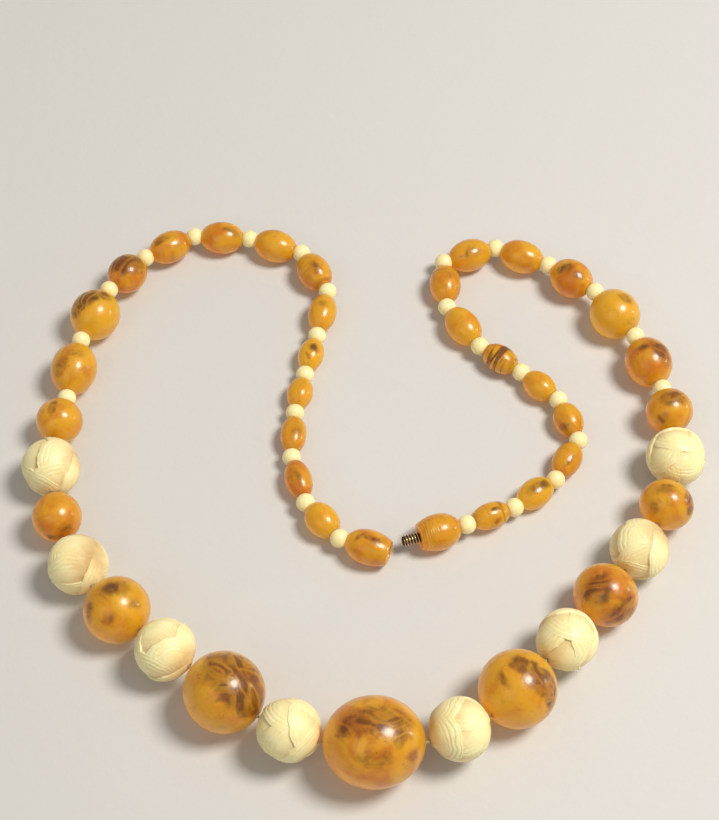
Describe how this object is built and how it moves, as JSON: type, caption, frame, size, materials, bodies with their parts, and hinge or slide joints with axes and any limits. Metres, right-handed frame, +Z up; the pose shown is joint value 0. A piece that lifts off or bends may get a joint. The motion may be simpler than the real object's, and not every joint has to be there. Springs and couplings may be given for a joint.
{
  "type": "misbaha prayer beads",
  "caption": "Graduated strand of amber-coloured oval prayer beads with carved cream rounds, small cream spacers and a screw clasp, laid in an open loop.",
  "frame": {"origin": "on the surface that the strand lies on, under the middle of the loop's outline", "axes": "+Z up from the surface, +X to the right across the loop, +Y from the large centre bead towards the small beads"},
  "size_m": [0.1796, 0.171, 0.0222],
  "materials": {
    "amber_honey": "polished amber-coloured resin, honey to golden, a little see-through",
    "amber_smoky": "polished amber-coloured resin with smoky brown clouds and bands",
    "cream_carved": "cream, carved all over in overlapping petals, satin with darker grooves",
    "cream_spacer": "cream, smooth, satin",
    "old_brass": "dark old brass with bright thread crests"
  },
  "bodies": {
    "centre_bead": {"centre_bead": "amber_smoky"},
    "left_carved_bead_1": {"left_carved_bead_1": "cream_carved"},
    "left_oval_bead_1": {"left_oval_bead_1": "amber_smoky"},
    "left_carved_bead_2": {"left_carved_bead_2": "cream_carved"},
    "left_oval_bead_2": {"left_oval_bead_2": "amber_smoky"},
    "left_carved_bead_3": {"left_carved_bead_3": "cream_carved"},
    "left_oval_bead_3": {"left_oval_bead_3": "amber_smoky"},
    "left_carved_bead_4": {"left_carved_bead_4": "cream_carved"},
    "left_oval_bead_4": {"left_oval_bead_4": "amber_smoky"},
    "left_spacer_pair_1": {"left_spacer_pair_1": "cream_spacer"},
    "left_oval_bead_6": {"left_oval_bead_6": "amber_smoky"},
    "left_spacer_pair_2": {"left_spacer_pair_2": "cream_spacer"},
    "left_oval_bead_8": {"left_oval_bead_8": "amber_honey"},
    "left_spacer_pair_3": {"left_spacer_pair_3": "cream_spacer"},
    "left_oval_bead_10": {"left_oval_bead_10": "amber_honey"},
    "left_spacer_pair_4": {"left_spacer_pair_4": "cream_spacer"},
    "left_oval_bead_12": {"left_oval_bead_12": "amber_honey"},
    "left_spacer_pair_5": {"left_spacer_pair_5": "cream_spacer"},
    "left_oval_bead_14": {"left_oval_bead_14": "amber_honey"},
    "left_spacer_pair_6": {"left_spacer_pair_6": "cream_spacer"},
    "left_oval_bead_16": {"left_oval_bead_16": "amber_honey"},
    "left_spacer_pair_7": {"left_spacer_pair_7": "cream_spacer"},
    "clasp_socket_half": {"clasp_socket_half": "amber_honey"},
    "right_carved_bead_1": {"right_carved_bead_1": "cream_carved"},
    "right_oval_bead_1": {"right_oval_bead_1": "amber_smoky"},
    "right_carved_bead_2": {"right_carved_bead_2": "cream_carved"},
    "right_oval_bead_2": {"right_oval_bead_2": "amber_smoky"},
    "right_carved_bead_3": {"right_carved_bead_3": "cream_carved"},
    "right_oval_bead_3": {"right_oval_bead_3": "amber_smoky"},
    "right_carved_bead_4": {"right_carved_bead_4": "cream_carved"},
    "right_oval_bead_4": {"right_oval_bead_4": "amber_smoky"},
    "right_spacer_pair_1": {"right_spacer_pair_1": "cream_spacer"},
    "right_oval_bead_6": {"right_oval_bead_6": "amber_smoky"},
    "right_spacer_pair_2": {"right_spacer_pair_2": "cream_spacer"},
    "right_oval_bead_8": {"right_oval_bead_8": "amber_honey"},
    "right_spacer_pair_3": {"right_spacer_pair_3": "cream_spacer"},
    "right_oval_bead_10": {"right_oval_bead_10": "amber_honey"},
    "right_spacer_pair_4": {"right_spacer_pair_4": "cream_spacer"},
    "right_oval_bead_12": {"right_oval_bead_12": "amber_honey"},
    "right_spacer_pair_5": {"right_spacer_pair_5": "cream_spacer"},
    "right_oval_bead_14": {"right_oval_bead_14": "amber_honey"},
    "right_spacer_pair_6": {"right_spacer_pair_6": "cream_spacer"},
    "right_oval_bead_16": {"right_oval_bead_16": "amber_honey"},
    "right_spacer_pair_7": {"right_spacer_pair_7": "cream_spacer"},
    "clasp_plug_half": {"clasp_plug_half": "amber_honey", "clasp_screw_stud": "old_brass"},
    "left_oval_bead_11": {"left_oval_bead_11": "amber_honey"},
    "left_oval_bead_13": {"left_oval_bead_13": "amber_honey"},
    "left_oval_bead_15": {"left_oval_bead_15": "amber_honey"},
    "left_oval_bead_17": {"left_oval_bead_17": "amber_honey"},
    "left_oval_bead_5": {"left_oval_bead_5": "amber_smoky"},
    "left_oval_bead_7": {"left_oval_bead_7": "amber_honey"},
    "left_oval_bead_9": {"left_oval_bead_9": "amber_honey"},
    "right_oval_bead_11": {"right_oval_bead_11": "amber_honey"},
    "right_oval_bead_13": {"right_oval_bead_13": "amber_honey"},
    "right_oval_bead_15": {"right_oval_bead_15": "amber_honey"},
    "right_oval_bead_17": {"right_oval_bead_17": "amber_honey"},
    "right_oval_bead_5": {"right_oval_bead_5": "amber_smoky"},
    "right_oval_bead_7": {"right_oval_bead_7": "amber_honey"},
    "right_oval_bead_9": {"right_oval_bead_9": "amber_honey"}
  },
  "joints": [
    {"name": "left_swing_1", "type": "hinge", "parent": "centre_bead", "child": "left_carved_bead_1", "pos_m": [-0.01051, -0.07437, 0.0111], "axis": [0, 0, 1], "range_deg": [0, 25]},
    {"name": "left_lift_1", "type": "hinge", "parent": "left_carved_bead_1", "child": "left_oval_bead_1", "pos_m": [-0.02568, -0.06745, 0.0099], "axis": [0.5123, 0.8588, 0], "range_deg": [-12, 12]},
    {"name": "left_swing_2", "type": "hinge", "parent": "left_oval_bead_1", "child": "left_carved_bead_2", "pos_m": [-0.04243, -0.05478, 0.0099], "axis": [0, 0, -1], "range_deg": [-25, 12]},
    {"name": "left_lift_2", "type": "hinge", "parent": "left_carved_bead_2", "child": "left_oval_bead_2", "pos_m": [-0.0556, -0.04456, 0.0085], "axis": [-0.6531, -0.7573, 0], "range_deg": [-12, 12]},
    {"name": "left_swing_3", "type": "hinge", "parent": "left_oval_bead_2", "child": "left_carved_bead_3", "pos_m": [-0.06818, -0.03253, 0.0085], "axis": [0, 0, 1], "range_deg": [-12, 25]},
    {"name": "left_lift_3", "type": "hinge", "parent": "left_carved_bead_3", "child": "left_oval_bead_3", "pos_m": [-0.07722, -0.01852, 0.008], "axis": [0.9046, 0.4263, 0], "range_deg": [-12, 12]},
    {"name": "left_swing_4", "type": "hinge", "parent": "left_oval_bead_3", "child": "left_carved_bead_4", "pos_m": [-0.0814, -0.00537, 0.008], "axis": [0, 0, -1], "range_deg": [-25, 11]},
    {"name": "left_lift_4", "type": "hinge", "parent": "left_carved_bead_4", "child": "left_oval_bead_4", "pos_m": [-0.08231, 0.01128, 0.008], "axis": [-0.999, 0.0441, 0], "range_deg": [-12, 12]},
    {"name": "left_swing_5", "type": "hinge", "parent": "left_oval_bead_4", "child": "left_spacer_pair_1", "pos_m": [-0.08027, 0.02543, 0.0062], "axis": [0, 0, 1], "range_deg": [-23, 2]},
    {"name": "left_lift_5", "type": "hinge", "parent": "left_spacer_pair_1", "child": "left_oval_bead_6", "pos_m": [-0.07787, 0.04388, 0.0068], "axis": [-0.97, 0.2431, 0], "range_deg": [-25, 25]},
    {"name": "left_swing_6", "type": "hinge", "parent": "left_oval_bead_6", "child": "left_spacer_pair_2", "pos_m": [-0.07143, 0.0609, 0.0068], "axis": [0, 0, 1], "range_deg": [-22, 0]},
    {"name": "left_lift_6", "type": "hinge", "parent": "left_spacer_pair_2", "child": "left_oval_bead_8", "pos_m": [-0.0622, 0.07323, 0.0053], "axis": [-0.6682, 0.7439, 0], "range_deg": [-25, 25]},
    {"name": "left_swing_7", "type": "hinge", "parent": "left_oval_bead_8", "child": "left_spacer_pair_3", "pos_m": [-0.04861, 0.08129, 0.0046], "axis": [0, 0, 1], "range_deg": [-25, 0]},
    {"name": "left_lift_7", "type": "hinge", "parent": "left_spacer_pair_3", "child": "left_oval_bead_10", "pos_m": [-0.03284, 0.08047, 0.0046], "axis": [-0.1903, -0.9817, 0], "range_deg": [-25, 25]},
    {"name": "left_swing_8", "type": "hinge", "parent": "left_oval_bead_10", "child": "left_spacer_pair_4", "pos_m": [-0.01789, 0.07534, 0.0046], "axis": [0, 0, -1], "range_deg": [0, 30]},
    {"name": "left_lift_8", "type": "hinge", "parent": "left_spacer_pair_4", "child": "left_oval_bead_12", "pos_m": [-0.01028, 0.06195, 0.0046], "axis": [0.9867, 0.1625, 0], "range_deg": [-25, 25]},
    {"name": "left_swing_9", "type": "hinge", "parent": "left_oval_bead_12", "child": "left_spacer_pair_5", "pos_m": [-0.01308, 0.04742, 0.0039], "axis": [0, 0, 1], "range_deg": [-30, 0]},
    {"name": "left_lift_9", "type": "hinge", "parent": "left_spacer_pair_5", "child": "left_oval_bead_14", "pos_m": [-0.01623, 0.0348, 0.0035], "axis": [-0.9756, 0.2196, 0], "range_deg": [-25, 25]},
    {"name": "left_swing_10", "type": "hinge", "parent": "left_oval_bead_14", "child": "left_spacer_pair_6", "pos_m": [-0.01871, 0.02245, 0.0035], "axis": [0, 0, -1], "range_deg": [0, 30]},
    {"name": "left_lift_10", "type": "hinge", "parent": "left_spacer_pair_6", "child": "left_oval_bead_16", "pos_m": [-0.01934, 0.00847, 0.0036], "axis": [0.9936, 0.1125, 0], "range_deg": [-25, 25]},
    {"name": "left_swing_11", "type": "hinge", "parent": "left_oval_bead_16", "child": "left_spacer_pair_7", "pos_m": [-0.01544, -0.0056, 0.0042], "axis": [0, 0, 1], "range_deg": [-30, 9]},
    {"name": "left_lift_11", "type": "hinge", "parent": "left_spacer_pair_7", "child": "clasp_socket_half", "pos_m": [-0.00652, -0.01639, 0.0046], "axis": [-0.5674, -0.8234, 0], "range_deg": [-25, 25]},
    {"name": "right_swing_1", "type": "hinge", "parent": "centre_bead", "child": "right_carved_bead_1", "pos_m": [0.01489, -0.07437, 0.0111], "axis": [0, 0, 1], "range_deg": [-25, 0]},
    {"name": "right_lift_1", "type": "hinge", "parent": "right_carved_bead_1", "child": "right_oval_bead_1", "pos_m": [0.03006, -0.06746, 0.0097], "axis": [0.5765, -0.8171, 0], "range_deg": [-12, 12]},
    {"name": "right_swing_2", "type": "hinge", "parent": "right_oval_bead_1", "child": "right_carved_bead_2", "pos_m": [0.04412, -0.05295, 0.0097], "axis": [0, 0, -1], "range_deg": [0, 25]},
    {"name": "right_lift_2", "type": "hinge", "parent": "right_carved_bead_2", "child": "right_oval_bead_2", "pos_m": [0.05541, -0.04069, 0.0083], "axis": [-0.7581, 0.6521, 0], "range_deg": [-12, 12]},
    {"name": "right_swing_3", "type": "hinge", "parent": "right_oval_bead_2", "child": "right_carved_bead_3", "pos_m": [0.06555, -0.02805, 0.0083], "axis": [0, 0, 1], "range_deg": [-25, 15]},
    {"name": "right_lift_3", "type": "hinge", "parent": "right_carved_bead_3", "child": "right_oval_bead_3", "pos_m": [0.07516, -0.01442, 0.008], "axis": [0.8609, -0.5088, 0], "range_deg": [-12, 12]},
    {"name": "right_swing_4", "type": "hinge", "parent": "right_oval_bead_3", "child": "right_carved_bead_4", "pos_m": [0.08107, -0.00229, 0.008], "axis": [0, 0, -1], "range_deg": [-5, 25]},
    {"name": "right_lift_4", "type": "hinge", "parent": "right_carved_bead_4", "child": "right_oval_bead_4", "pos_m": [0.08268, 0.01431, 0.008], "axis": [-0.9997, -0.0246, 0], "range_deg": [-12, 12]},
    {"name": "right_swing_5", "type": "hinge", "parent": "right_oval_bead_4", "child": "right_spacer_pair_1", "pos_m": [0.0806, 0.02846, 0.0063], "axis": [0, 0, 1], "range_deg": [-30, 22]},
    {"name": "right_lift_5", "type": "hinge", "parent": "right_spacer_pair_1", "child": "right_oval_bead_6", "pos_m": [0.07464, 0.04523, 0.0068], "axis": [0.8935, 0.449, 0], "range_deg": [-25, 25]},
    {"name": "right_swing_6", "type": "hinge", "parent": "right_oval_bead_6", "child": "right_spacer_pair_2", "pos_m": [0.06463, 0.06019, 0.0068], "axis": [0, 0, -1], "range_deg": [-15, 21]},
    {"name": "right_lift_6", "type": "hinge", "parent": "right_spacer_pair_2", "child": "right_oval_bead_8", "pos_m": [0.05222, 0.0706, 0.0053], "axis": [0.5305, 0.8477, 0], "range_deg": [-25, 25]},
    {"name": "right_swing_7", "type": "hinge", "parent": "right_oval_bead_8", "child": "right_spacer_pair_3", "pos_m": [0.03761, 0.07713, 0.0046], "axis": [0, 0, 1], "range_deg": [0, 13]},
    {"name": "right_lift_7", "type": "hinge", "parent": "right_spacer_pair_3", "child": "right_oval_bead_10", "pos_m": [0.02265, 0.07206, 0.0046], "axis": [0.8224, -0.5689, 0], "range_deg": [-25, 25]},
    {"name": "right_swing_8", "type": "hinge", "parent": "right_oval_bead_10", "child": "right_spacer_pair_4", "pos_m": [0.02317, 0.05667, 0.0045], "axis": [0, 0, -1], "range_deg": [-21, 0]},
    {"name": "right_lift_8", "type": "hinge", "parent": "right_spacer_pair_4", "child": "right_oval_bead_12", "pos_m": [0.03186, 0.04348, 0.0045], "axis": [0.7253, 0.6884, 0], "range_deg": [-25, 25]},
    {"name": "right_swing_9", "type": "hinge", "parent": "right_oval_bead_12", "child": "right_spacer_pair_5", "pos_m": [0.04298, 0.03529, 0.0038], "axis": [0, 0, -1], "range_deg": [-30, 0]},
    {"name": "right_lift_9", "type": "hinge", "parent": "right_spacer_pair_5", "child": "right_oval_bead_14", "pos_m": [0.0526, 0.02626, 0.0039], "axis": [-0.8357, -0.5492, 0], "range_deg": [-25, 25]},
    {"name": "right_swing_10", "type": "hinge", "parent": "right_oval_bead_14", "child": "right_spacer_pair_6", "pos_m": [0.05721, 0.01346, 0.0039], "axis": [0, 0, -1], "range_deg": [-30, 30]},
    {"name": "right_lift_10", "type": "hinge", "parent": "right_spacer_pair_6", "child": "right_oval_bead_16", "pos_m": [0.05046, 0.00143, 0.0039], "axis": [0.7494, -0.6621, 0], "range_deg": [-25, 25]},
    {"name": "right_swing_11", "type": "hinge", "parent": "right_oval_bead_16", "child": "right_spacer_pair_7", "pos_m": [0.03919, -0.00688, 0.0039], "axis": [0, 0, 1], "range_deg": [-30, 30]},
    {"name": "clasp_plug_turn", "type": "hinge", "parent": "right_spacer_pair_7", "child": "clasp_plug_half", "pos_m": [0.02655, -0.01242, 0.0048], "axis": [-0.9576, -0.2881, 0], "continuous": true},
    {"name": "left_oval_11_spin", "type": "hinge", "parent": "left_spacer_pair_4", "child": "left_oval_bead_11", "pos_m": [-0.01789, 0.07534, 0.0046], "axis": [0.4944, -0.8692, 0], "continuous": true},
    {"name": "left_oval_13_spin", "type": "hinge", "parent": "left_spacer_pair_5", "child": "left_oval_bead_13", "pos_m": [-0.01308, 0.04742, 0.0039], "axis": [-0.2417, -0.9699, -0.0308], "continuous": true},
    {"name": "left_oval_15_spin", "type": "hinge", "parent": "left_spacer_pair_6", "child": "left_oval_bead_15", "pos_m": [-0.01871, 0.02245, 0.0035], "axis": [-0.0447, -0.999, 0.0071], "continuous": true},
    {"name": "left_oval_17_spin", "type": "hinge", "parent": "left_spacer_pair_7", "child": "left_oval_bead_17", "pos_m": [-0.01544, -0.0056, 0.0042], "axis": [0.6371, -0.7702, 0.0286], "continuous": true},
    {"name": "left_oval_5_spin", "type": "hinge", "parent": "left_spacer_pair_1", "child": "left_oval_bead_5", "pos_m": [-0.08027, 0.02543, 0.0062], "axis": [0.129, 0.9911, 0.0322], "continuous": true},
    {"name": "left_oval_7_spin", "type": "hinge", "parent": "left_spacer_pair_2", "child": "left_oval_bead_7", "pos_m": [-0.07143, 0.0609, 0.0068], "axis": [0.5966, 0.7967, -0.0969], "continuous": true},
    {"name": "left_oval_9_spin", "type": "hinge", "parent": "left_spacer_pair_3", "child": "left_oval_bead_9", "pos_m": [-0.04861, 0.08129, 0.0046], "axis": [0.9986, -0.052, 0], "continuous": true},
    {"name": "right_oval_11_spin", "type": "hinge", "parent": "right_spacer_pair_4", "child": "right_oval_bead_11", "pos_m": [0.02317, 0.05667, 0.0045], "axis": [0.5501, -0.8351, 0], "continuous": true},
    {"name": "right_oval_13_spin", "type": "hinge", "parent": "right_spacer_pair_5", "child": "right_oval_bead_13", "pos_m": [0.04298, 0.03529, 0.0038], "axis": [0.7289, -0.6846, 0.0076], "continuous": true},
    {"name": "right_oval_15_spin", "type": "hinge", "parent": "right_spacer_pair_6", "child": "right_oval_bead_15", "pos_m": [0.05721, 0.01346, 0.0039], "axis": [-0.4893, -0.8721, 0], "continuous": true},
    {"name": "right_oval_17_spin", "type": "hinge", "parent": "right_spacer_pair_7", "child": "right_oval_bead_17", "pos_m": [0.03919, -0.00688, 0.0039], "axis": [-0.9137, -0.4012, 0.0651], "continuous": true},
    {"name": "right_oval_5_spin", "type": "hinge", "parent": "right_spacer_pair_1", "child": "right_oval_bead_5", "pos_m": [0.0806, 0.02846, 0.0063], "axis": [-0.3351, 0.9418, 0.0281], "continuous": true},
    {"name": "right_oval_7_spin", "type": "hinge", "parent": "right_spacer_pair_2", "child": "right_oval_bead_7", "pos_m": [0.06463, 0.06019, 0.0068], "axis": [-0.7627, 0.6401, -0.0922], "continuous": true},
    {"name": "right_oval_9_spin", "type": "hinge", "parent": "right_spacer_pair_3", "child": "right_oval_bead_9", "pos_m": [0.03761, 0.07713, 0.0046], "axis": [-0.9472, -0.3206, 0], "continuous": true}
  ]
}
